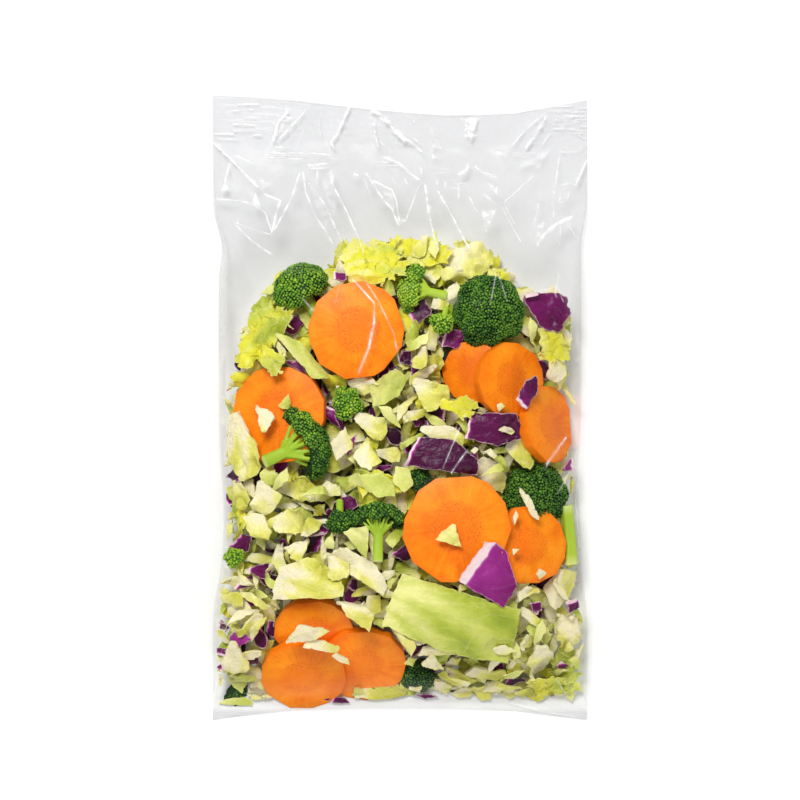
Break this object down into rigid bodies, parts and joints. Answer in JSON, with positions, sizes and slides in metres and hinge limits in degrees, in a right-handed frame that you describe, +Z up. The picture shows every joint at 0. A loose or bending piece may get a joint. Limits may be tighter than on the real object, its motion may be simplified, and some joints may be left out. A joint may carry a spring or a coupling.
{
  "type": "bag of stir-fry vegetables",
  "caption": "Sealed clear film pillow bag of cut stir-fry vegetables: carrot slices, broccoli florets, green and red cabbage pieces, lying flat.",
  "frame": {"origin": "on the surface the bag lies on, under the middle of its outline", "axes": "+X to the bag's right seen from above, +Y along its length towards the top seal, +Z up out of the side shown"},
  "size_m": [0.18, 0.3, 0.0414],
  "materials": {
    "film": "thin clear glossy film",
    "carrot": "moist cut root vegetable",
    "broccoli": "matt buds on smooth stalks",
    "cabbage": "crisp pale leaf with white ribs",
    "leaf": "soft green leaf",
    "lettuce": "frilled yellow-green leaf",
    "red_cabbage": "waxy purple leaf with white cut edges",
    "core": "dark packed filling under the pieces"
  },
  "bodies": {
    "root": {"vegetable_bag": "film"}
  },
  "joints": []
}
